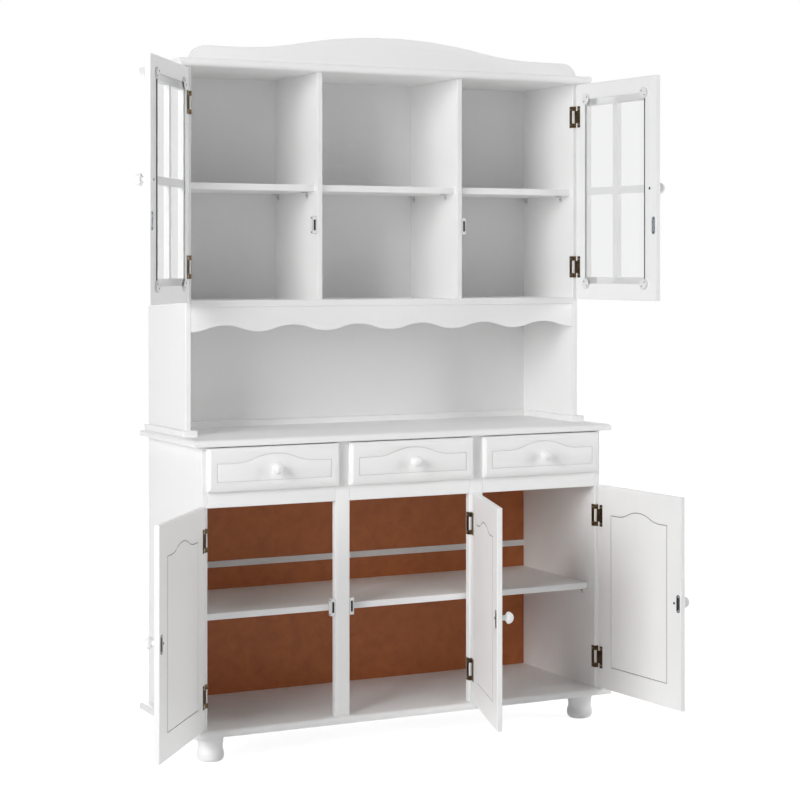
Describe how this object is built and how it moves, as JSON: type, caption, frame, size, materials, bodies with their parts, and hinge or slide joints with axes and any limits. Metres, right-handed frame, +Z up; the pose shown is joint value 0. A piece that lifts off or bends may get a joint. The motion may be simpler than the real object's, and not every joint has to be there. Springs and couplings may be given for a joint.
{
  "type": "display cabinet",
  "caption": "White buffet hutch: a base with drawers and panelled doors under an open niche, shelved compartments and glazed doors, with a shaped crest.",
  "frame": {"origin": "on the floor, at the centre of the front left foot's sole", "axes": "+Z up, +Y towards the back, +X to the right as seen from the front"},
  "size_m": [1.51, 0.776, 1.9005],
  "materials": {
    "white_lacquer": "satin white lacquer on solid pine and board",
    "bare_pine": "unfinished pine",
    "hardboard": "smooth brown hardboard",
    "white_strip": "extruded white",
    "zinc_steel": "zinc plated",
    "white_back_panel": "white faced hardboard",
    "white_plastic": "moulded white",
    "dark_magnet": "black ferrite and steel",
    "aged_bronze": "antique bronze plated",
    "clear_glass": "clear float glass"
  },
  "bodies": {
    "cabinet": {"base_side_left": "white_lacquer", "base_side_right": "white_lacquer", "base_bottom_board": "white_lacquer", "worktop": "white_lacquer", "front_stiles": "white_lacquer", "drawer_rails": "white_lacquer", "drawer_runners": "bare_pine", "base_back_panels": "hardboard", "back_joining_strip": "white_strip", "base_shelf": "white_lacquer", "bun_feet": "white_lacquer", "foot_bolts": "zinc_steel", "hutch_side_left": "white_lacquer", "hutch_side_right": "white_lacquer", "hutch_dividers": "white_lacquer", "hutch_top_board": "white_lacquer", "crest_board": "white_lacquer", "hutch_bottom_board": "white_lacquer", "valance": "white_lacquer", "hutch_back_panel": "white_back_panel", "hutch_shelves": "white_lacquer", "shelf_supports": "white_plastic", "plinth_strips": "white_lacquer", "magnetic_catches": "white_plastic", "catch_magnets": "dark_magnet", "cabinet_hinges": "aged_bronze"},
    "upper_left_door": {"upper_left_door_frame": "white_lacquer", "upper_left_door_glass": "clear_glass", "upper_left_door_knob": "white_lacquer", "upper_left_door_hinge_leaves": "aged_bronze", "upper_left_door_fixings": "zinc_steel"},
    "upper_right_door": {"upper_right_door_frame": "white_lacquer", "upper_right_door_glass": "clear_glass", "upper_right_door_knob": "white_lacquer", "upper_right_door_hinge_leaves": "aged_bronze", "upper_right_door_fixings": "zinc_steel"},
    "lower_left_door": {"lower_left_door_frame": "white_lacquer", "lower_left_door_panel": "white_lacquer", "lower_left_door_knob": "white_lacquer", "lower_left_door_hinge_leaves": "aged_bronze", "lower_left_door_fixings": "zinc_steel"},
    "lower_middle_door": {"lower_middle_door_frame": "white_lacquer", "lower_middle_door_panel": "white_lacquer", "lower_middle_door_knob": "white_lacquer", "lower_middle_door_hinge_leaves": "aged_bronze", "lower_middle_door_fixings": "zinc_steel"},
    "lower_right_door": {"lower_right_door_frame": "white_lacquer", "lower_right_door_panel": "white_lacquer", "lower_right_door_knob": "white_lacquer", "lower_right_door_hinge_leaves": "aged_bronze", "lower_right_door_fixings": "zinc_steel"},
    "left_drawer": {"left_drawer_front": "white_lacquer", "left_drawer_box": "white_lacquer", "left_drawer_knob": "white_lacquer"},
    "middle_drawer": {"middle_drawer_front": "white_lacquer", "middle_drawer_box": "white_lacquer", "middle_drawer_knob": "white_lacquer"},
    "right_drawer": {"right_drawer_front": "white_lacquer", "right_drawer_box": "white_lacquer", "right_drawer_knob": "white_lacquer"}
  },
  "joints": [
    {"name": "upper_left_door_hinge", "type": "hinge", "parent": "cabinet", "child": "upper_left_door", "pos_m": [-0.0318, 0.0724, 1.4895], "axis": [0, 0, 1], "range_deg": [-4.8, 125.2]},
    {"name": "upper_right_door_hinge", "type": "hinge", "parent": "cabinet", "child": "upper_right_door", "pos_m": [1.1518, 0.0724, 1.4895], "axis": [0, 0, 1], "range_deg": [-94.1, 35.9]},
    {"name": "lower_left_door_hinge", "type": "hinge", "parent": "cabinet", "child": "lower_left_door", "pos_m": [-0.0318, -0.0456, 0.37525], "axis": [0, 0, 1], "range_deg": [-1.8, 128.2]},
    {"name": "lower_middle_door_hinge", "type": "hinge", "parent": "cabinet", "child": "lower_middle_door", "pos_m": [0.74863, -0.0456, 0.37525], "axis": [0, 0, 1], "range_deg": [-70.9, 39.1]},
    {"name": "lower_right_door_hinge", "type": "hinge", "parent": "cabinet", "child": "lower_right_door", "pos_m": [1.1518, -0.0456, 0.37525], "axis": [0, 0, 1], "range_deg": [-94, 36]},
    {"name": "left_drawer_slide", "type": "slide", "parent": "cabinet", "child": "left_drawer", "axis": [0, -1, 0], "range_m": [0, 0.27]},
    {"name": "middle_drawer_slide", "type": "slide", "parent": "cabinet", "child": "middle_drawer", "axis": [0, -1, 0], "range_m": [0, 0.27]},
    {"name": "right_drawer_slide", "type": "slide", "parent": "cabinet", "child": "right_drawer", "axis": [0, -1, 0], "range_m": [0, 0.27]}
  ]
}
